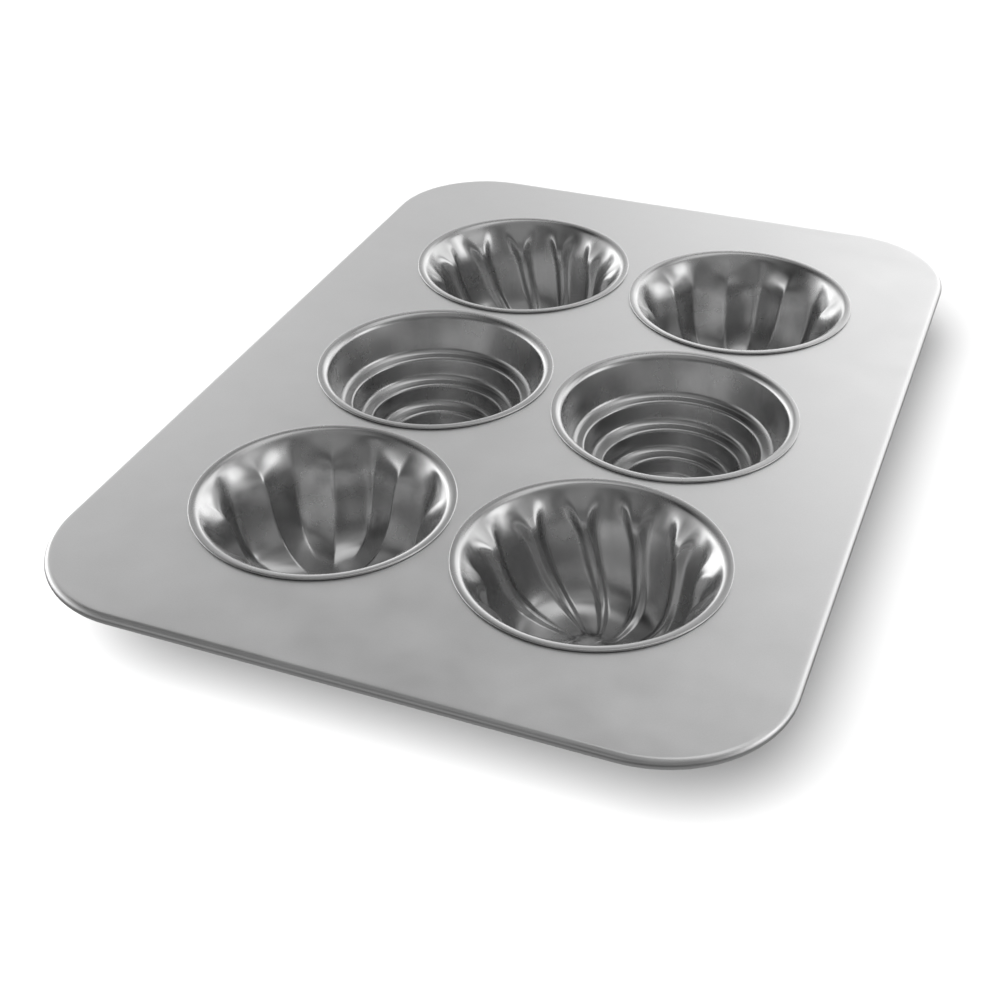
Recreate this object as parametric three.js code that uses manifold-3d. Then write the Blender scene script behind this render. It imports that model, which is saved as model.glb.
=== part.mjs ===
// Mini cake pan: a rounded rectangular sheet-metal tray with six pressed cups in two
// columns of three. Two cups have straight flutes, two have swirled flutes and two have
// stepped rings. The tray's edge is rolled round a stiffening wire. Each cup's flange lies
// on the tray, and a bead below the tray's collar keeps the cup from lifting out.
// Millimetres, +Z up, origin under the middle of the pan on the plane it stands on.
import * as THREE from "three";
import { mergeVertices } from "three/addons/utils/BufferGeometryUtils.js";
import Module from "manifold-3d";

const wasm = await Module();
wasm.setup();

// ---- driving dimensions -------------------------------------------------------------
const LENGTH = 400; // over the rolled edge, along Y
const WIDTH = 282; // over the rolled edge, along X
const CORNER_R = 48; // outer radius of the tray's corners
const SHEET = 0.8; // thickness of the tray and of the cups
const TRAY_TOP = 45; // height of the tray's upper face
const WIRE_R = 1.25; // stiffening wire inside the rolled edge
const ROLL_GAP = 0.3; // clearance of the wire inside the roll
const ROLL_STOPS_DEG = [90, 60, 30, 0, -36, -72, -108, -150, -194]; // round the roll, from its top
const BUTT_GAP = 1.2; // gap where the wire's two ends meet
const CORNER_STEPS = 6;

const PITCH_X = 108.5; // between cup centres across the pan
const PITCH_Y = 108; // between cup centres along the pan
const HOLE_R = 47.7; // inside of the tray's turned-down collars
const COLLAR_DEPTH = 2.7; // of the collars, from the tray's upper face
const HOLE_STEPS = 32;

const FLANGE_R = 51.67; // outer radius of a cup's flange
const FLANGE_LIFT = 0.3; // clearance between a flange and the tray
const RING_COLUMNS = 28;

// Straight flutes: number, direction of the first crest, and the columns of one flute with
// how far each lies from the trough (0) to the crest (1).
const FLUTES = 8;
const FLUTE_PHASE_DEG = 22.5;
const FLUTE_COLUMNS_DEG = [-20, -2.6, 2.6, 20];
const FLUTE_WEIGHTS = [0.07, 0.93, 0.93, 0.07];

// Swirled flutes: narrow ribs with wide panels between them.
const SWIRLS = 12;
const SWIRL_PHASE_DEG = 24;
const SWIRL_COLUMNS_DEG = [-7.5, -2, 2, 7.5];
const SWIRL_WEIGHTS = [0.08, 1, 1, 0.08];

// Inner faces of the cups from the middle of the floor to the flange. Heights are measured
// from the tray's upper face. [trough radius, trough height, crest radius, crest height,
// twist in degrees]
const FLOOR = -44.2;
const NECK = [
  [46.2, -4.6],
  [47.4, -3.7],
  [46.3, -2.9],
  [46.4, 0.2],
  [47.5, FLANGE_LIFT + SHEET],
  [FLANGE_R - 0.5, FLANGE_LIFT + SHEET],
].map(([r, z]) => [r, z, r, z, 0]);
const FLUTED = [
  [0, FLOOR, 0, FLOOR, 0],
  [17.5, FLOOR, 15.5, FLOOR, 0],
  [26.5, -42.4, 21.8, -42.2, 0],
  [35.2, -36, 29.4, -35.8, 0],
  [40.5, -26.5, 33.9, -26.3, 0],
  [43.6, -15, 36.2, -15.6, 0],
  [45.2, -8, 38.9, -9, 0],
  ...NECK,
];
const SWIRLED = [
  [0, -40.2, 0, -40.2, -32],
  [6.2, -40.2, 6.2, -40.2, -32],
  [10.5, -43.2, 9.2, -41.2, -30],
  [20, FLOOR - 0.2, 18.3, -42.2, -21.5],
  [29.6, -40.8, 26.8, -38, -14.5],
  [36.4, -31.8, 32.8, -29.8, -8.5],
  [40.6, -20, 36.8, -19, -4],
  [43.2, -10, 39.3, -9.8, -1],
  ...NECK,
];
const RINGED = [
  [0, FLOOR],
  [17.6, FLOOR],
  [19.1, -43],
  [20.4, -37.4],
  [21.6, -36.2],
  [26.1, -35.1],
  [27.3, -33.9],
  [28.8, -28.2],
  [29.9, -26.9],
  [33.4, -25.6],
  [34.6, -24.4],
  [36.8, -18.9],
  [38.1, -17.4],
  [41.1, -15.9],
  [42.3, -14.5],
]
  .map(([r, z]) => [r, z, r, z, 0])
  .concat(NECK);

// ---- helpers ------------------------------------------------------------------------
const rad = THREE.MathUtils.degToRad;

function solid(geometry) {
  const g = geometry.clone();
  g.deleteAttribute("normal");
  g.deleteAttribute("uv");
  const m = mergeVertices(g, 1e-4);
  return new wasm.Manifold(
    new wasm.Mesh({
      numProp: 3,
      vertProperties: new Float32Array(m.attributes.position.array),
      triVerts: new Uint32Array(m.index.array),
    }),
  );
}

function geometryOf(body) {
  const m = body.getMesh();
  const v = new Float32Array(m.numVert * 3);
  for (let i = 0; i < m.numVert; i++)
    v.set(m.vertProperties.subarray(i * m.numProp, i * m.numProp + 3), i * 3);
  const g = new THREE.BufferGeometry();
  g.setAttribute("position", new THREE.BufferAttribute(v, 3));
  g.setIndex(new THREE.BufferAttribute(new Uint32Array(m.triVerts), 1));
  g.computeVertexNormals();
  return g;
}

// A lathe about Z made from [radius, height] pairs.
function turned(profile, columns) {
  const g = new THREE.LatheGeometry(
    profile.map(([r, z]) => new THREE.Vector2(r, z)),
    columns,
  );
  g.rotateX(Math.PI / 2);
  return g;
}

// Moves vertex (column, point) of a lathe to place(column, point).
function reshape(geometry, columns, points, place) {
  const p = geometry.attributes.position;
  for (let i = 0; i <= columns; i++)
    for (let j = 0; j < points; j++) {
      const q = place(i % columns, j);
      p.setXYZ(i * points + j, q.x, q.y, q.z);
    }
  return geometry;
}

// A closed profile swept round the tray: a lathe whose four quarters are pushed apart.
const ROLL_R = WIRE_R + ROLL_GAP + SHEET;
const RIM_X = WIDTH / 2 - CORNER_R;
const RIM_Y = LENGTH / 2 - CORNER_R;
const RIM_R = CORNER_R - ROLL_R; // corner radius of the wire's centre line
const RIM_Z = TRAY_TOP - ROLL_R;
function rimSweep(profile) {
  const per = CORNER_STEPS + 1;
  const columns = 4 * per;
  const closed = [...profile, profile[0]];
  const g = turned(
    closed.map(([u, z]) => [RIM_R + u, z]),
    columns,
  );
  return reshape(g, columns, closed.length, (i, j) => {
    const quarter = Math.floor(i / per);
    const a = (quarter + (i % per) / CORNER_STEPS) * (Math.PI / 2);
    const sx = [1, -1, -1, 1][quarter];
    const sy = [1, 1, -1, -1][quarter];
    const [u, z] = closed[j];
    return new THREE.Vector3(
      sx * RIM_X + (RIM_R + u) * Math.cos(a),
      sy * RIM_Y + (RIM_R + u) * Math.sin(a),
      z,
    );
  });
}

function outline(offset, radius, steps) {
  const points = [];
  [
    [1, 1],
    [-1, 1],
    [-1, -1],
    [1, -1],
  ].forEach(([sx, sy], quarter) => {
    for (let k = 0; k <= steps; k++) {
      const a = (quarter + k / steps) * (Math.PI / 2);
      points.push(
        new THREE.Vector2(
          sx * RIM_X + (radius + offset) * Math.cos(a),
          sy * RIM_Y + (radius + offset) * Math.sin(a),
        ),
      );
    }
  });
  return points;
}

// ---- the tray -----------------------------------------------------------------------
const CUPS = [
  ["fluted_cup_front_left", "fluted", -1, -1],
  ["swirl_cup_front_right", "swirl", 1, -1],
  ["ringed_cup_middle_left", "ringed", -1, 0],
  ["ringed_cup_middle_right", "ringed", 1, 0],
  ["swirl_cup_rear_left", "swirl", -1, 1],
  ["fluted_cup_rear_right", "fluted", 1, 1],
].map(([name, kind, ix, iy]) => ({
  name,
  kind,
  x: (ix * PITCH_X) / 2,
  y: iy * PITCH_Y,
}));

function trayBody() {
  const shape = new THREE.Shape(outline(-2, RIM_R, CORNER_STEPS));
  for (const c of CUPS) {
    const hole = [];
    for (let k = 0; k < HOLE_STEPS; k++) {
      const a = (2 * Math.PI * k) / HOLE_STEPS;
      hole.push(
        new THREE.Vector2(
          c.x + HOLE_R * Math.cos(a),
          c.y + HOLE_R * Math.sin(a),
        ),
      );
    }
    shape.holes.push(new THREE.Path(hole));
  }
  const plate = new THREE.ExtrudeGeometry(shape, {
    depth: SHEET,
    bevelEnabled: false,
  });
  plate.translate(0, 0, TRAY_TOP - SHEET);

  // the edge: over the top, round the wire and up again inside, left open
  const inner = WIRE_R + ROLL_GAP;
  const roll = [[-2.7, TRAY_TOP]];
  for (const d of ROLL_STOPS_DEG)
    roll.push([ROLL_R * Math.cos(rad(d)), RIM_Z + ROLL_R * Math.sin(rad(d))]);
  for (const d of [...ROLL_STOPS_DEG].reverse())
    roll.push([inner * Math.cos(rad(d)), RIM_Z + inner * Math.sin(rad(d))]);
  roll.push([-2.7, TRAY_TOP - SHEET]);
  let body = solid(plate).add(solid(rimSweep(roll.reverse())));

  for (const c of CUPS) {
    const low = TRAY_TOP - COLLAR_DEPTH;
    const high = TRAY_TOP - SHEET / 2;
    const collar = turned(
      [
        [HOLE_R, high],
        [HOLE_R, low],
        [HOLE_R + SHEET, low],
        [HOLE_R + SHEET, high],
        [HOLE_R, high],
      ],
      HOLE_STEPS,
    );
    collar.translate(c.x, c.y, 0);
    body = body.add(solid(collar));
  }
  return geometryOf(body);
}

// ---- the wire in the rolled edge ----------------------------------------------------
function wireBody() {
  const round = [];
  for (let k = 0; k < 8; k++) {
    const a = rad(22.5 + 45 * k);
    round.push([WIRE_R * Math.cos(a), RIM_Z + WIRE_R * Math.sin(a)]);
  }
  const notch = new THREE.BoxGeometry(BUTT_GAP, 6, 6);
  notch.translate(0, LENGTH / 2 - ROLL_R, RIM_Z);
  return geometryOf(solid(rimSweep(round)).subtract(solid(notch)));
}

// ---- the cups -----------------------------------------------------------------------
// Columns are [angle in degrees, crest weight]; a station's twist turns them all.
function columnsOf(kind) {
  const list = [];
  if (kind === "fluted")
    for (let k = 0; k < FLUTES; k++)
      FLUTE_COLUMNS_DEG.forEach((d, m) =>
        list.push([FLUTE_PHASE_DEG + (360 / FLUTES) * k + d, FLUTE_WEIGHTS[m]]),
      );
  else if (kind === "swirl")
    for (let k = 0; k < SWIRLS; k++)
      SWIRL_COLUMNS_DEG.forEach((d, m) =>
        list.push([SWIRL_PHASE_DEG + (360 / SWIRLS) * k + d, SWIRL_WEIGHTS[m]]),
      );
  else
    for (let k = 0; k < RING_COLUMNS; k++)
      list.push([(360 / RING_COLUMNS) * k, 0]);
  return list;
}

function cupBody(kind) {
  const stations = { fluted: FLUTED, swirl: SWIRLED, ringed: RINGED }[kind];
  const columns = columnsOf(kind);
  const n = columns.length;
  const last = stations.length - 1;

  const inside = columns.map(([deg, w]) =>
    stations.map(([tr, tz, cr, cz, twist]) => {
      const a = rad(deg + twist);
      const r = THREE.MathUtils.lerp(tr, cr, w);
      return new THREE.Vector3(
        r * Math.cos(a),
        r * Math.sin(a),
        TRAY_TOP + THREE.MathUtils.lerp(tz, cz, w),
      );
    }),
  );
  // the outer face lies one sheet thickness outside, along the local normal
  const outside = inside.map((column, i) =>
    column.map((p, k) => {
      if (k === 0) return new THREE.Vector3(0, 0, p.z - SHEET);
      const along = new THREE.Vector3().subVectors(
        column[Math.min(k + 1, last)],
        column[k - 1],
      );
      const across = new THREE.Vector3().subVectors(
        inside[(i + 1) % n][k],
        inside[(i + n - 1) % n][k],
      );
      const normal = new THREE.Vector3().crossVectors(across, along).normalize();
      if (k >= last - 1) normal.set(0, 0, -1);
      else if (k === 1) normal.set(0, 0, -1);
      return p.clone().addScaledVector(normal, SHEET);
    }),
  );
  const edge = columns.map(([deg]) => {
    const a = rad(deg);
    return new THREE.Vector3(
      FLANGE_R * Math.cos(a),
      FLANGE_R * Math.sin(a),
      TRAY_TOP + FLANGE_LIFT + SHEET / 2,
    );
  });

  // one lathe profile: up the inner face, over the flange's edge and down the outer face
  const points = 2 * (last + 1) + 1;
  const profile = [];
  for (let j = 0; j < points; j++) profile.push([j === 0 || j === points - 1 ? 0 : 1, j]);
  const g = reshape(turned(profile.reverse(), n), n, points, (i, j) => {
    const m = points - 1 - j;
    if (m <= last) return inside[i][m];
    if (m === last + 1) return edge[i];
    return outside[i][points - 1 - m];
  });
  return geometryOf(solid(g));
}

// ---- assembly -----------------------------------------------------------------------
const pan = new THREE.Group();
pan.name = "mini_cake_pan";

function addPiece(name, geometry, material, x = 0, y = 0) {
  const mesh = new THREE.Mesh(geometry, material);
  mesh.name = name;
  mesh.position.set(x, y, 0);
  pan.add(mesh);
}

addPiece(
  "tray_plate",
  trayBody(),
  new THREE.MeshStandardMaterial({
    color: 0xb9b9ba,
    roughness: 0.42,
    metalness: 1,
  }),
);
addPiece(
  "rim_wire",
  wireBody(),
  new THREE.MeshStandardMaterial({
    color: 0x9a9a9c,
    roughness: 0.35,
    metalness: 1,
  }),
);
for (const c of CUPS)
  addPiece(
    c.name,
    cupBody(c.kind),
    new THREE.MeshStandardMaterial({
      color: 0xb4b4b5,
      roughness: 0.34,
      metalness: 1,
    }),
    c.x,
    c.y,
  );

export default pan;
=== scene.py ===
"""Looks of the mini cake pan: smooth pressed-metal meshes for the tray, its rolled edge,
the wire inside it and the six cups, satin metal materials, a pale floor and soft light."""

import math

import bpy
import numpy as np
from mathutils import Matrix, Vector
from mathutils.geometry import delaunay_2d_cdt


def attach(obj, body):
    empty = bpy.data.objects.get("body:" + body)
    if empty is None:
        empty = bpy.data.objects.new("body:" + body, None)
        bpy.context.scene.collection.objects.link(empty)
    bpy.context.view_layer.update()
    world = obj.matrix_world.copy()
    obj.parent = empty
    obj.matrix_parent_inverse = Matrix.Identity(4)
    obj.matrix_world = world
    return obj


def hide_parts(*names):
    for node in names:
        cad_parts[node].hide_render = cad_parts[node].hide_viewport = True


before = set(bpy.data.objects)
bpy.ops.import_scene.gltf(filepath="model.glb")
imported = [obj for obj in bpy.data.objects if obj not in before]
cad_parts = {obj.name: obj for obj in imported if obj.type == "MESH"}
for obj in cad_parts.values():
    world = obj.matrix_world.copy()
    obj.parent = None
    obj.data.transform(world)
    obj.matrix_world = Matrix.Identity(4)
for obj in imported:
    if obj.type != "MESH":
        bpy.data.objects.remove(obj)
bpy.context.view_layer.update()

MM = 0.001

# ---- sizes, in millimetres, the same as the frame's --------------------------------------
LENGTH, WIDTH, CORNER_R = 400.0, 282.0, 48.0
SHEET, TOP = 0.8, 45.0
WIRE_R, ROLL_GAP, BUTT_GAP = 1.25, 0.3, 1.2
PITCH_X, PITCH_Y = 108.5, 108.0
HOLE_R, COLLAR_DEPTH = 47.7, 2.7
FLANGE_R, FLANGE_LIFT = 51.67, 0.2
FLOOR_Z = -44.2

CUPS = [
    ("fluted_cup_front_left", "fluted", -1, -1),
    ("swirl_cup_front_right", "swirl", 1, -1),
    ("ringed_cup_middle_left", "ringed", -1, 0),
    ("ringed_cup_middle_right", "ringed", 1, 0),
    ("swirl_cup_rear_left", "swirl", -1, 1),
    ("fluted_cup_rear_right", "fluted", 1, 1),
]

LIP_R = 3.4  # upper side of a cup's lip, where its flange turns down into the cup
LIP_CENTRE = (50.0, FLANGE_LIFT + SHEET - LIP_R)  # radius and height of the turn's centre

ROLL_R = WIRE_R + ROLL_GAP + SHEET
RIM_X, RIM_Y = WIDTH / 2 - CORNER_R, LENGTH / 2 - CORNER_R
RIM_R = CORNER_R - ROLL_R
RIM_Z = TOP - ROLL_R


# ---- mesh helpers ------------------------------------------------------------------------
def mesh_object(name, points, faces, material):
    me = bpy.data.meshes.new(name)
    me.from_pydata((np.asarray(points, float) * MM).tolist(), [], faces)
    me.update()
    me.polygons.foreach_set("use_smooth", np.ones(len(me.polygons), bool))
    me.materials.append(material)
    ob = bpy.data.objects.new(name, me)
    bpy.context.scene.collection.objects.link(ob)
    return ob


def pchip(x, y, xi):
    """Monotone cubic through (x, y), at xi."""
    x, y, xi = (np.asarray(v, float) for v in (x, y, xi))
    h, d = np.diff(x), np.diff(y) / np.diff(x)
    m = np.zeros_like(y)
    for k in range(1, len(x) - 1):
        if d[k - 1] * d[k] > 0:
            w1, w2 = 2 * h[k] + h[k - 1], h[k] + 2 * h[k - 1]
            m[k] = (w1 + w2) / (w1 / d[k - 1] + w2 / d[k])
    m[0], m[-1] = d[0], d[-1]
    k = np.clip(np.searchsorted(x, xi, "right") - 1, 0, len(x) - 2)
    t = (xi - x[k]) / h[k]
    return (
        (1 + 2 * t) * (1 - t) ** 2 * y[k]
        + t * (1 - t) ** 2 * h[k] * m[k]
        + t * t * (3 - 2 * t) * y[k + 1]
        + t * t * (t - 1) * h[k] * m[k + 1]
    )


def rounded(points, radii, arc=6, straight=3):
    """A polyline with its inner corners rounded to the given radii."""
    p = [np.asarray(q, float) for q in points]
    out = [p[0]]
    for k in range(1, len(p) - 1):
        a, b, c = p[k - 1], p[k], p[k + 1]
        u, v = (a - b) / np.linalg.norm(a - b), (c - b) / np.linalg.norm(c - b)
        half = math.acos(np.clip(np.dot(u, v), -1, 1)) / 2
        reach = radii[k] / math.tan(half)
        reach = min(reach, 0.49 * np.linalg.norm(a - b), 0.49 * np.linalg.norm(c - b))
        r = reach * math.tan(half)
        start, end = b + u * reach, b + v * reach
        mid = b + (u + v) / np.linalg.norm(u + v) * (r / math.sin(half))
        for s in range(1, straight):
            out.append(out[-1] + (start - out[-1]) * s / straight)
        a0 = math.atan2(*(start - mid)[::-1])
        a1 = math.atan2(*(end - mid)[::-1])
        turn = (a1 - a0 + math.pi) % (2 * math.pi) - math.pi
        for s in range(arc + 1):
            g = a0 + turn * s / arc
            out.append(mid + r * np.array([math.cos(g), math.sin(g)]))
    for s in range(1, straight):
        out.append(out[-1] + (p[-1] - out[-1]) * s / straight)
    out.append(p[-1])
    return np.array(out)


def closed_rings(rings, first_pole=None, last_pole=None):
    """Faces of a tube of rings of equal length, the ends closed to poles if given."""
    m, n = len(rings), len(rings[0])
    points = np.concatenate(rings)
    faces = []
    for k in range(m - 1):
        a, b = k * n, (k + 1) * n
        for i in range(n):
            j = (i + 1) % n
            faces.append((a + i, a + j, b + j, b + i))
    if first_pole is not None:
        points = np.vstack([points, first_pole])
        q = len(points) - 1
        faces += [(q, (i + 1) % n, i) for i in range(n)]
    if last_pole is not None:
        points = np.vstack([points, last_pole])
        q, a = len(points) - 1, (m - 1) * n
        faces += [(q, a + i, a + (i + 1) % n) for i in range(n)]
    return points, faces


# ---- materials ---------------------------------------------------------------------------
def nodes_of(name):
    mat = bpy.data.materials.new(name)
    mat.use_nodes = True
    t = mat.node_tree
    t.nodes.clear()
    return mat, t, t.nodes.new, t.links.new


def satin_metal(name, shade, rough, grain_mm, bump, mottle, wear):
    """Coated steel with a fine grain, soft mottling and edges rubbed a little brighter."""
    mat, t, new, link = nodes_of(name)
    out = new("ShaderNodeOutputMaterial")
    bsdf = new("ShaderNodeBsdfPrincipled")
    link(bsdf.outputs["BSDF"], out.inputs["Surface"])
    bsdf.inputs["Metallic"].default_value = 1.0
    bsdf.inputs["Specular IOR Level"].default_value = 0.5

    where = new("ShaderNodeTexCoord")
    grain = new("ShaderNodeTexNoise")
    grain.inputs["Scale"].default_value = 1000.0 / grain_mm
    grain.inputs["Detail"].default_value = 3.0
    grain.inputs["Roughness"].default_value = 0.6
    cloud = new("ShaderNodeTexNoise")
    cloud.inputs["Scale"].default_value = 55.0
    cloud.inputs["Detail"].default_value = 4.0
    cloud.inputs["Roughness"].default_value = 0.55
    for n in (grain, cloud):
        link(where.outputs["Object"], n.inputs["Vector"])

    # colour: grain and mottling a few per cent either side of the shade
    both = new("ShaderNodeMix")
    both.data_type = "FLOAT"
    both.inputs[0].default_value = 0.45
    link(grain.outputs["Fac"], both.inputs[2])
    link(cloud.outputs["Fac"], both.inputs[3])
    tone = new("ShaderNodeValToRGB")
    lo, hi = shade * (1 - mottle), shade * (1 + mottle)
    tone.color_ramp.elements[0].position = 0.30
    tone.color_ramp.elements[0].color = (lo, lo, lo, 1)
    tone.color_ramp.elements[1].position = 0.70
    tone.color_ramp.elements[1].color = (hi, hi, hi * 1.002, 1)
    link(both.outputs[0], tone.inputs["Fac"])

    geo = new("ShaderNodeNewGeometry")
    edge = new("ShaderNodeMapRange")
    edge.interpolation_type = "SMOOTHSTEP"
    edge.inputs["From Min"].default_value = 0.53
    edge.inputs["From Max"].default_value = 0.64
    edge.inputs["To Min"].default_value = 0.0
    edge.inputs["To Max"].default_value = wear
    link(geo.outputs["Pointiness"], edge.inputs["Value"])
    rub = new("ShaderNodeMix")
    rub.data_type = "RGBA"
    link(edge.outputs["Result"], rub.inputs[0])
    link(tone.outputs["Color"], rub.inputs[6])
    rub.inputs[7].default_value = (0.86, 0.86, 0.86, 1)
    link(rub.outputs[2], bsdf.inputs["Base Color"])

    gloss = new("ShaderNodeMapRange")
    gloss.inputs["From Min"].default_value = 0.3
    gloss.inputs["From Max"].default_value = 0.7
    gloss.inputs["To Min"].default_value = rough - 0.035
    gloss.inputs["To Max"].default_value = rough + 0.035
    link(cloud.outputs["Fac"], gloss.inputs["Value"])
    worn = new("ShaderNodeMath")
    worn.operation = "MULTIPLY_ADD"
    worn.inputs[1].default_value = -0.10
    link(edge.outputs["Result"], worn.inputs[0])
    link(gloss.outputs["Result"], worn.inputs[2])
    link(worn.outputs[0], bsdf.inputs["Roughness"])

    relief = new("ShaderNodeBump")
    relief.inputs["Strength"].default_value = bump
    relief.inputs["Distance"].default_value = 0.00004
    link(grain.outputs["Fac"], relief.inputs["Height"])
    link(relief.outputs["Normal"], bsdf.inputs["Normal"])
    return mat


TRAY_METAL = satin_metal("tray_metal", 0.80, 0.36, 0.55, 0.35, 0.035, 0.5)
CUP_METAL = satin_metal("cup_metal", 0.57, 0.26, 7.0, 0.10, 0.025, 0.3)
WIRE_METAL = satin_metal("wire_metal", 0.52, 0.32, 0.35, 0.25, 0.05, 0.3)


# ---- the tray ----------------------------------------------------------------------------
def rim_loop(u, z, steps=20):
    """A rounded rectangle u outside the wire's centre line, counterclockwise."""
    out = []
    for q, (sx, sy) in enumerate(((1, 1), (-1, 1), (-1, -1), (1, -1))):
        for k in range(steps + 1):
            a = (q + k / steps) * math.pi / 2
            out.append(
                (
                    sx * RIM_X + (RIM_R + u) * math.cos(a),
                    sy * RIM_Y + (RIM_R + u) * math.sin(a),
                    z,
                )
            )
    return np.array(out)


HOLE_N = 96
HOLE_EDGE = LIP_CENTRE[0] + 2.2  # radius where the flat plate begins to turn down


def hole_loop(x, y, r, z):
    a = 2 * math.pi * np.arange(HOLE_N) / HOLE_N
    return np.stack([x + r * np.cos(a), y + r * np.sin(a), np.full(HOLE_N, z)], 1)


def fill(outer, holes):
    """Triangles between an outer loop and hole loops, as indices into all loops in turn."""
    pts, edges = [], []
    for loop in [outer, *holes]:
        base = len(pts)
        pts += [Vector((p[0], p[1])) for p in loop]
        edges += [(base + i, base + (i + 1) % len(loop)) for i in range(len(loop))]
    got = delaunay_2d_cdt(pts, edges, [], 0, 1e-6)
    faces = []
    for f in got[2]:
        c = sum((got[0][i] for i in f), Vector((0, 0))) / len(f)
        inside = HOLE_EDGE * math.cos(math.pi / HOLE_N)
        if any(math.hypot(c.x - x, c.y - y) < inside for x, y in CENTRES):
            continue
        old = [got[3][i][0] for i in f]
        a, b, d = (pts[i] for i in old[:3])
        if (b.x - a.x) * (d.y - a.y) - (b.y - a.y) * (d.x - a.x) < 0:
            old.reverse()
        faces.append(tuple(old))
    return faces


CENTRES = [(ix * PITCH_X / 2, iy * PITCH_Y) for _, _, ix, iy in CUPS]


def build_tray():
    inner = WIRE_R + ROLL_GAP
    flat = -3.6  # the plate's flat part ends here, a little inside the roll
    sweep = []  # from the plate's upper face round the roll to its lower face
    sweep.append((flat, TOP))
    sweep.append((-1.2, TOP))
    for d in np.linspace(90, -194, 34):
        g = math.radians(d)
        sweep.append((ROLL_R * math.cos(g), RIM_Z + ROLL_R * math.sin(g)))
    lip = math.radians(-194)
    mid = (ROLL_R + inner) / 2
    for d in (35, 90, 145):  # the sheet's cut edge, a little rounded
        g = lip - math.pi / 2
        o = math.radians(d)
        rr = mid + (SHEET / 2) * math.cos(o)
        out = (SHEET / 2) * 0.35 * math.sin(o)
        sweep.append(
            (
                rr * math.cos(lip) + out * math.cos(g),
                RIM_Z + rr * math.sin(lip) + out * math.sin(g),
            )
        )
    for d in np.linspace(-194, 90, 26):
        g = math.radians(d)
        sweep.append((inner * math.cos(g), RIM_Z + inner * math.sin(g)))
    sweep.append((-1.2, TOP - SHEET))
    sweep.append((flat, TOP - SHEET))
    loops = [rim_loop(u, z) for u, z in sweep]
    points, faces = closed_rings(loops)
    points = list(points)
    n = len(loops[0])
    faces = [tuple(reversed(f)) for f in faces]
    last = (len(loops) - 1) * n
    top_ids = [list(range(n))]
    low_ids = [list(range(last, last + n))]
    top_holes, low_holes = [], []

    # collars drawn down round the holes, following the cups' lips with a little clearance
    bend = LIP_R - SHEET - FLANGE_LIFT
    turn_r, turn_z = LIP_CENTRE
    collar = [(HOLE_EDGE, TOP), (turn_r + 0.9, TOP)]
    for d in np.linspace(90, 180, 10):
        g = math.radians(d)
        collar.append((turn_r + bend * math.cos(g), TOP + turn_z + bend * math.sin(g)))
    low = TOP - COLLAR_DEPTH - 1.2
    r_in = turn_r - bend
    collar += [
        (r_in, low + 0.25),
        (r_in + 0.12, low + 0.05),
        (r_in + 0.4, low),
        (r_in + 0.68, low + 0.05),
        (r_in + SHEET, low + 0.25),
    ]
    for d in np.linspace(180, 90, 8):
        g = math.radians(d)
        rb = bend - SHEET
        collar.append((turn_r + rb * math.cos(g), TOP + turn_z + rb * math.sin(g)))
    collar += [(turn_r + 0.9, TOP - SHEET), (HOLE_EDGE, TOP - SHEET)]
    for x, y in CENTRES:
        rings = [hole_loop(x, y, r, z) for r, z in collar]
        p, f = closed_rings(rings)
        base = len(points)
        points += list(p)
        faces += [tuple(base + i for i in q) for q in f]
        top_ids.append([base + i for i in range(HOLE_N)])
        low_ids.append([base + (len(rings) - 1) * HOLE_N + i for i in range(HOLE_N)])
        top_holes.append(rings[0])
        low_holes.append(rings[-1])
    for ids, outer, holes, up in (
        (top_ids, loops[0], top_holes, True),
        (low_ids, loops[-1], low_holes, False),
    ):
        flat_ids = [i for group in ids for i in group]
        for f in fill(outer, holes):
            g = tuple(flat_ids[i] for i in f)
            faces.append(g if up else tuple(reversed(g)))
    return mesh_object("tray", np.array(points), faces, TRAY_METAL)


def build_wire():
    around, steps = 14, 16
    path = []
    half = BUTT_GAP / 2
    # along the wire, from one end at the middle of the rear side round to the other
    path.append((-half, LENGTH / 2 - ROLL_R, (0, 1)))
    for q, (sx, sy) in zip((1, 2, 3, 4), ((-1, 1), (-1, -1), (1, -1), (1, 1))):
        for k in range(steps + 1):
            a = (q + k / steps) * math.pi / 2
            path.append(
                (
                    sx * RIM_X + RIM_R * math.cos(a),
                    sy * RIM_Y + RIM_R * math.sin(a),
                    (math.cos(a), math.sin(a)),
                )
            )
    path.append((half, LENGTH / 2 - ROLL_R, (0, 1)))

    def ring(x, y, out, r):
        g = 2 * math.pi * np.arange(around) / around
        return np.stack(
            [
                x + out[0] * r * np.cos(g),
                y + out[1] * r * np.cos(g),
                RIM_Z + r * np.sin(g),
            ],
            1,
        )

    rings = []
    x, y, out = path[0]
    rings.append(ring(x, y, out, WIRE_R * 0.86))
    rings.append(ring(x - 0.16, y, out, WIRE_R))
    rings += [ring(*p, WIRE_R) for p in path[1:-1]]
    x, y, out = path[-1]
    rings.append(ring(x + 0.16, y, out, WIRE_R))
    rings.append(ring(x, y, out, WIRE_R * 0.86))
    points, faces = closed_rings(
        rings,
        first_pole=(path[0][0], path[0][1], RIM_Z),
        last_pole=(path[-1][0], path[-1][1], RIM_Z),
    )
    return mesh_object("wire_in_rolled_edge", points, faces, WIRE_METAL)


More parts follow.
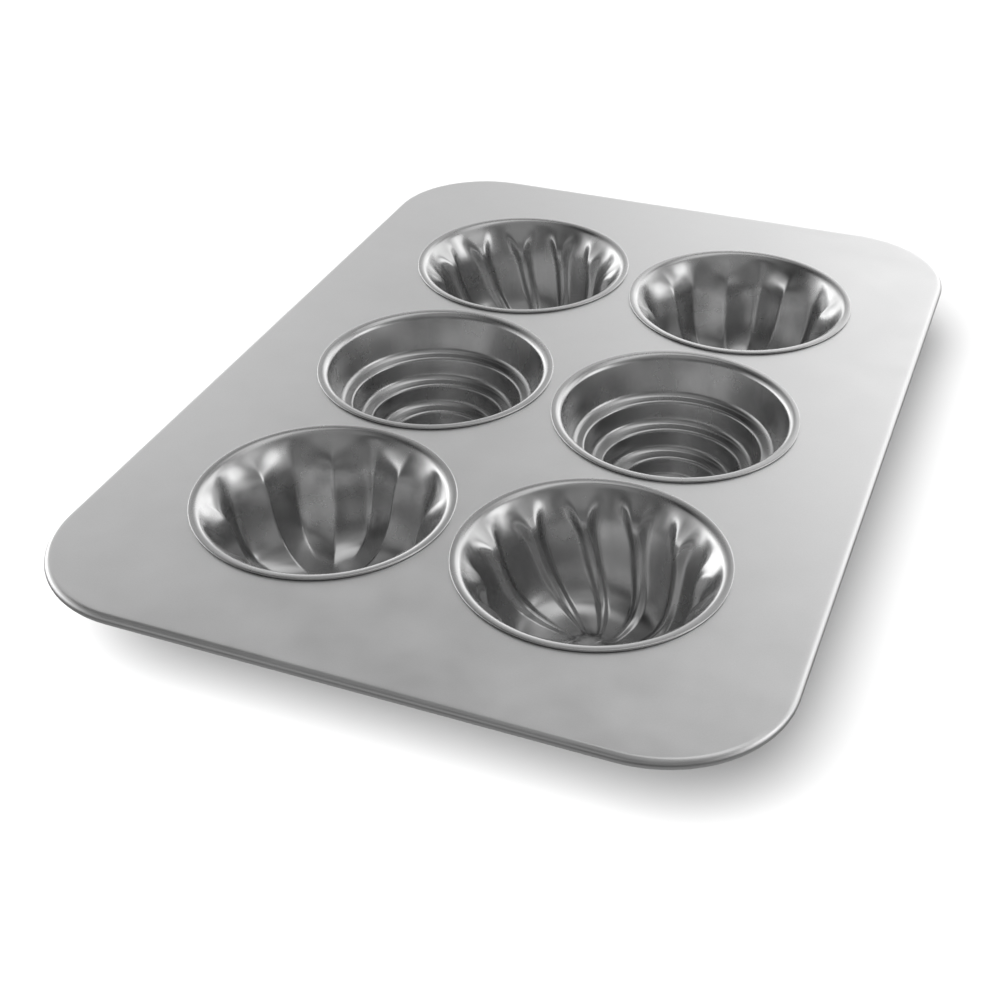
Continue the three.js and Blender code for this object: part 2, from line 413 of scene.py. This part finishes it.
# ---- the cups ----------------------------------------------------------------------------
# Inner faces from the middle of the floor up to the lip, heights from the tray's upper face:
# trough radius and height, crest radius and height, twist in degrees.
FLUTED = np.array(
    [
        [0, FLOOR_Z, 0, FLOOR_Z, 0],
        [9, FLOOR_Z, 9, FLOOR_Z, 0],
        [18.2, FLOOR_Z, 14.8, FLOOR_Z + 0.1, 0],
        [26.8, -42.8, 21.5, -42.3, 0],
        [32.7, -39.6, 26.0, -39.3, 0],
        [36.5, -34.6, 29.8, -34.4, 0],
        [39.6, -26.5, 33.4, -26.3, 0],
        [41.2, -18.5, 35.3, -18.4, 0],
        [42.1, -13.6, 36.8, -13.4, 0],
        [43.3, -10.2, 37.9, -10.1, 0],
        [44.6, -6.8, 39.3, -7.6, 0],
        [45.4, -4.6, 41.2, -5.5, 0],
        [46.1, -2.9, 43.4, -3.6, 0],
        [46.7, -1.5, 45.5, -1.9, 0],
        [47.15, -0.68, 47.0, -0.65, 0],
    ]
)
SWIRLED = np.array(
    [
        [0, -40.8, 0, -40.8, -33],
        [3.5, -40.55, 3.5, -40.55, -33],
        [5.9, -40.2, 5.9, -40.2, -32.5],
        [6.7, -41.0, 6.7, -40.8, -32],
        [8.6, -42.9, 8.2, -41.5, -30.8],
        [13.0, FLOOR_Z, 12.8, -43.5, -27.5],
        [20.5, -43.9, 20.0, -43.1, -21.5],
        [27.6, -42.0, 26.8, -41.1, -17],
        [32.6, -37.6, 31.4, -36.8, -13],
        [36.3, -30.4, 34.9, -29.9, -8.5],
        [39.6, -18.4, 37.7, -18.2, -4],
        [41.2, -12.6, 38.0, -12.6, -1.8],
        [42.6, -9.2, 39.3, -9.0, -0.9],
        [44.2, -6.0, 41.2, -6.4, -0.4],
        [45.4, -3.8, 43.5, -4.2, -0.2],
        [46.4, -1.9, 45.6, -2.2, -0.1],
        [47.1, -0.75, 47.0, -0.75, 0],
    ]
)
RING_LINE = [
    (0, FLOOR_Z),
    (19.2, FLOOR_Z),
    (20.5, -35.5),
    (27.6, -35.75),
    (28.7, -26.1),
    (34.9, -26.35),
    (36.9, -16.5),
    (42.3, -16.75),
    (46.72, -1.61),
]
RING_RADII = [0, 2.8, 1.3, 3.0, 1.3, 3.0, 1.3, 3.0, 0]


FLUTED_COLUMNS = [0, 0.7, 1.4, 2.2, 3.2, 4.6, 6.6, 9.2, 12.2, 15.2, 17.8, 20.0, 21.4, 22.5]
SWIRLED_COLUMNS = [0, 0.5, 1, 1.6, 2.2, 2.8, 3.3, 3.8, 4.3, 4.8, 5.4, 6.2, 7.4, 9.2, 12, 15]


def lip_line(start):
    """From the cup's wall over the rounded lip to the flange's edge."""
    cr, cz = LIP_CENTRE
    pts = []
    for d in np.linspace(start, 90, 14):
        g = math.radians(d)
        pts.append((cr + LIP_R * math.cos(g), cz + LIP_R * math.sin(g)))
    return np.array(pts + [(cr + 0.4, FLANGE_LIFT + SHEET)])


def softened(rows, width):
    """Rows of points smoothed along the columns by a bell of the given width in rows."""
    reach = int(4 * width) + 1
    k = np.arange(-reach, reach + 1)
    bell = np.exp(-0.5 * (k / width) ** 2)
    bell /= bell.sum()
    before = 2 * rows[:1] - rows[reach:0:-1]
    after = 2 * rows[-1:] - rows[-2 : -reach - 2 : -1]
    long = np.concatenate([before, rows, after])
    out = sum(c * long[j : j + len(rows)] for j, c in enumerate(bell))
    out[0] = rows[0]
    return out


def cup_surface(kind):
    """Inner face as an array [station, column, xyz], the first station being the middle."""
    if kind == "ringed":
        n = 144
        body = rounded(RING_LINE, RING_RADII, arc=8, straight=5)
        prof = np.vstack([body, lip_line(163)[1:]])
        phi = 2 * math.pi * np.arange(n) / n
        r, z = prof[:, :1], prof[:, 1:]
        return np.stack(
            [r * np.cos(phi), r * np.sin(phi), np.broadcast_to(z, (len(prof), n))], 2
        )
    table, count, phase, half = (
        (FLUTED, 8, 22.5, FLUTED_COLUMNS)
        if kind == "fluted"
        else (SWIRLED, 12, 24.0, SWIRLED_COLUMNS)
    )
    up = lip_line(130)
    zero = np.zeros(len(up))
    table = np.vstack([table, np.stack([up[:, 0], up[:, 1], up[:, 0], up[:, 1], zero], 1)])
    # even steps of about 0.75 mm along the wall
    k = np.arange(len(table))
    fine = np.linspace(0, len(table) - 1, 40 * (len(table) - 1) + 1)
    mid = [(pchip(k, table[:, c], fine) + pchip(k, table[:, c + 2], fine)) / 2 for c in (0, 1)]
    run = np.concatenate([[0], np.cumsum(np.hypot(np.diff(mid[0]), np.diff(mid[1])))])
    u = np.interp(np.linspace(0, run[-1], int(run[-1] / 0.75) + 1), run, fine)
    tr, tz, cr, cz, tw = (pchip(k, table[:, c], u)[:, None] for c in range(5))
    # columns in degrees from each crest, closer together where the surface turns
    side = np.array(half)
    around = np.concatenate([-side[-2:0:-1], side])
    d = (360.0 / count * np.arange(count)[:, None] + around[None, :]).ravel()
    if kind == "fluted":
        sharp = 0.987
        w = 0.5 + 0.5 * np.arcsin(sharp * np.cos(np.radians(d * count))) / math.asin(sharp)
        # towards the lip the lobes grow broad and the crests between them narrow
        w = w[None, :] ** (1 + 0.25 * np.clip((tz + 17.0) / 11.0, 0, 1))
    else:
        # narrow ribs that spread into a V towards the lip
        pitch = 360.0 / count
        off = np.abs((d + pitch / 2) % pitch - pitch / 2)[None, :]
        wide = 0.9 + 2.5 * np.clip((tz + 16.0) / 12.0, 0, 1) ** 2
        flank = 5.4 + 4.2 * np.clip((tz + 18.0) / 13.0, 0, 1) ** 1.5
        t = np.clip((off - wide) / flank, 0, 1)
        w = 1 - t * t * (3 - 2 * t)
    a = np.radians(phase + d[None, :] + tw)
    r, z = tr + (cr - tr) * w, tz + (cz - tz) * w
    rows = np.stack([r * np.cos(a), r * np.sin(a), z], 2)
    # well rounded shoulders below the lip, the lip itself left as it is
    below = np.clip((-2.2 - z[..., None]) / 2.6, 0, 1)
    below = below * below * (3 - 2 * below)
    return softened(rows, 0.9) * (1 - below) + softened(rows, 2.4) * below


def build_cup(name, kind, x, y):
    inside = cup_surface(kind)
    pole, inside = inside[0, 0], inside[1:]
    n = inside.shape[1]
    first = np.broadcast_to(pole, (1, n, 3))
    ring = np.concatenate([first, inside, 2 * inside[-1:] - inside[-2:-1]])
    along = ring[2:] - ring[:-2]
    across = np.roll(inside, -1, 1) - np.roll(inside, 1, 1)
    normal = np.cross(across, along)
    normal /= np.linalg.norm(normal, axis=2, keepdims=True)
    # a bead on the outside, just below the tray's collar, keeps the cup in its hole
    bead = 0.55 * np.exp(-(((inside[..., 2:] + 4.9) / 0.55) ** 2))
    outside = inside + (SHEET + bead) * normal

    # the flange's edge: well rounded above, a small round below
    top, low = FLANGE_LIFT + SHEET, FLANGE_LIFT
    edge = []
    for d in np.linspace(90, 0, 8):
        g = math.radians(d)
        edge.append((FLANGE_R - 0.5 + 0.5 * math.cos(g), top - 0.42 + 0.42 * math.sin(g)))
    edge += [(FLANGE_R - 0.05, low + 0.06), (FLANGE_R - 0.2, low), (FLANGE_R - 0.7, low)]
    phi = np.arctan2(inside[-1, :, 1], inside[-1, :, 0])
    rim = [
        np.stack([r * np.cos(phi), r * np.sin(phi), np.full(n, z)], 1) for r, z in edge
    ]

    rings = list(outside) + rim[::-1] + list(inside[::-1])
    points, faces = closed_rings(
        rings,
        first_pole=pole - [0, 0, SHEET],
        last_pole=pole,
    )
    points = points + np.array([x, y, TOP])
    return mesh_object(name, points, faces, CUP_METAL)


# ---- assembly ----------------------------------------------------------------------------
tray = build_tray()
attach(tray, "root")
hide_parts("tray_plate")

wire = build_wire()
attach(wire, "root")
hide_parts("rim_wire")

for node, kind, ix, iy in CUPS:
    cup = build_cup(node + "_shell", kind, ix * PITCH_X / 2, iy * PITCH_Y)
    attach(cup, "root")
    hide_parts(node)


# ---- floor, light and camera -------------------------------------------------------------
def build_floor():
    mat, t, new, link = nodes_of("pale_floor")
    out = new("ShaderNodeOutputMaterial")
    bsdf = new("ShaderNodeBsdfPrincipled")
    link(bsdf.outputs["BSDF"], out.inputs["Surface"])
    where = new("ShaderNodeTexCoord")
    noise = new("ShaderNodeTexNoise")
    noise.inputs["Scale"].default_value = 3.0
    link(where.outputs["Object"], noise.inputs["Vector"])
    ramp = new("ShaderNodeValToRGB")
    ramp.color_ramp.elements[0].color = (0.90, 0.90, 0.90, 1)
    ramp.color_ramp.elements[1].color = (0.92, 0.92, 0.92, 1)
    link(noise.outputs["Fac"], ramp.inputs["Fac"])
    link(ramp.outputs["Color"], bsdf.inputs["Base Color"])
    bsdf.inputs["Roughness"].default_value = 0.9
    bsdf.inputs["Specular IOR Level"].default_value = 0.0
    s, z = 8000.0, -0.05  # just clear of the cups' flat bottoms
    floor = mesh_object(
        "floor", [(-s, -s, z), (s, -s, z), (s, s, z), (-s, s, z)], [(0, 1, 2, 3)], mat
    )
    floor.visible_glossy = False


build_floor()

# A studio: broad soft lights low behind and at both sides, dark behind the camera. Each has
# an azimuth (0 along +Y, positive towards +X), an elevation, the radii in degrees where it
# is full and where it has faded out, and a strength.
STUDIO = [
    (0, 3, 3, 25, 1.07),
    (22, 3, 3, 25, 0.80),
    (45, 3, 3, 25, 0.75),
    (68, 3, 3, 25, 0.66),
    (90, 3, 3, 25, 0.62),
    (112, 3, 3, 25, 0.28),
    (135, 3, 3, 25, 0.12),
    (158, 3, 3, 25, 0.13),
    (180, 3, 3, 25, 0.09),
    (202, 3, 3, 25, 0.34),
    (225, 3, 3, 25, 0.17),
    (248, 3, 3, 25, 0.56),
    (270, 3, 3, 25, 1.15),
    (292, 3, 3, 25, 1.40),
    (315, 3, 3, 25, 1.36),
    (338, 3, 3, 25, 0.57),
    (0, 20, 3, 28, 0.55),
    (26, 20, 3, 28, 0.15),
    (51, 20, 3, 28, 0.35),
    (77, 20, 3, 28, 0.25),
    (103, 20, 3, 28, 0.22),
    (154, 20, 3, 28, 0.08),
    (180, 20, 3, 28, 0.06),
    (231, 20, 3, 28, 0.12),
    (257, 20, 3, 28, 0.49),
    (283, 20, 3, 28, 0.70),
    (309, 20, 3, 28, 0.58),
    (334, 20, 3, 28, 0.30),
    (0, 38, 4, 34, 0.13),
    (36, 38, 4, 34, 0.04),
    (72, 38, 4, 34, 0.18),
    (108, 38, 4, 34, 0.10),
    (144, 38, 4, 34, 0.12),
    (180, 38, 4, 34, 0.09),
    (216, 38, 4, 34, 0.05),
    (324, 38, 4, 34, 0.15),
    (45, 62, 6, 28, 0.32),
    (90, 62, 6, 28, 0.16),
    (135, 62, 6, 28, 0.13),
    (180, 62, 6, 28, 0.20),
    (225, 62, 6, 28, 0.12),
    (315, 62, 6, 28, 0.04),
    (0, 88, 8, 30, 0.20),
    (0, -88, 40, 84, 0.30),
    (32, 27, 2, 19, 1.10),
    (9, 22, 2, 20, 0.40),
    (0, 68, 8, 22, 0.80),
    (77, 24, 5, 19, 1.30),
    (3, 31, 2, 15, 0.72),
    (67, 60, 4, 20, 0.55),
]

world = bpy.data.worlds.new("studio")
bpy.context.scene.world = world
world.cycles_visibility.diffuse = False
world.use_nodes = True
tree = world.node_tree
tree.nodes.clear()
sky = tree.nodes.new("ShaderNodeTexCoord")
total = None
for azimuth, elevation, full, faded, strength in STUDIO:
    a, e = math.radians(azimuth), math.radians(elevation)
    dot = tree.nodes.new("ShaderNodeVectorMath")
    dot.operation = "DOT_PRODUCT"
    tree.links.new(sky.outputs["Generated"], dot.inputs[0])
    dot.inputs[1].default_value = (
        math.sin(a) * math.cos(e),
        math.cos(a) * math.cos(e),
        math.sin(e),
    )
    soft = tree.nodes.new("ShaderNodeMapRange")
    soft.interpolation_type = "SMOOTHERSTEP"
    soft.inputs["From Min"].default_value = math.cos(math.radians(faded))
    soft.inputs["From Max"].default_value = math.cos(math.radians(full))
    soft.inputs["To Min"].default_value = 0.0
    soft.inputs["To Max"].default_value = strength
    tree.links.new(dot.outputs["Value"], soft.inputs["Value"])
    if total is None:
        total = soft.outputs["Result"]
    else:
        plus = tree.nodes.new("ShaderNodeMath")
        plus.operation = "ADD"
        tree.links.new(soft.outputs["Result"], plus.inputs[0])
        tree.links.new(total, plus.inputs[1])
        total = plus.outputs[0]
back = tree.nodes.new("ShaderNodeBackground")
tree.links.new(total, back.inputs["Strength"])
world_out = tree.nodes.new("ShaderNodeOutputWorld")
tree.links.new(back.outputs["Background"], world_out.inputs["Surface"])

lamp = bpy.data.lights.new("soft_overhead", "SUN")
lamp.energy = 5.2
lamp.angle = math.radians(52)
overhead = bpy.data.objects.new("soft_overhead", lamp)
overhead.rotation_euler = Vector((0.06, 0.82, -1.0)).to_track_quat("-Z", "Y").to_euler()
overhead.visible_glossy = False
bpy.context.scene.collection.objects.link(overhead)

cam = bpy.data.cameras.new("camera")
cam.sensor_width = 36.0
cam.lens = 1532.83 / 1000.0 * 36.0
cam.shift_x = 0.0073
cam.clip_start, cam.clip_end = 0.01, 50.0
eye = bpy.data.objects.new("camera", cam)
right = Vector((0.92866725, 0.37081531, -0.00855288))
upward = Vector((-0.20591561, 0.53459857, 0.81963598))
behind = Vector((0.30850593, -0.75940791, 0.57282084))
eye.matrix_world = Matrix(
    (
        (right.x, upward.x, behind.x, 188.179 * MM),
        (right.y, upward.y, behind.y, -531.862 * MM),
        (right.z, upward.z, behind.z, (336.558 + TOP) * MM),
        (0, 0, 0, 1),
    )
)
bpy.context.scene.collection.objects.link(eye)
bpy.context.scene.camera = eye
bpy.context.scene.view_settings.view_transform = "Standard"
bpy.context.scene.view_settings.look = "None"
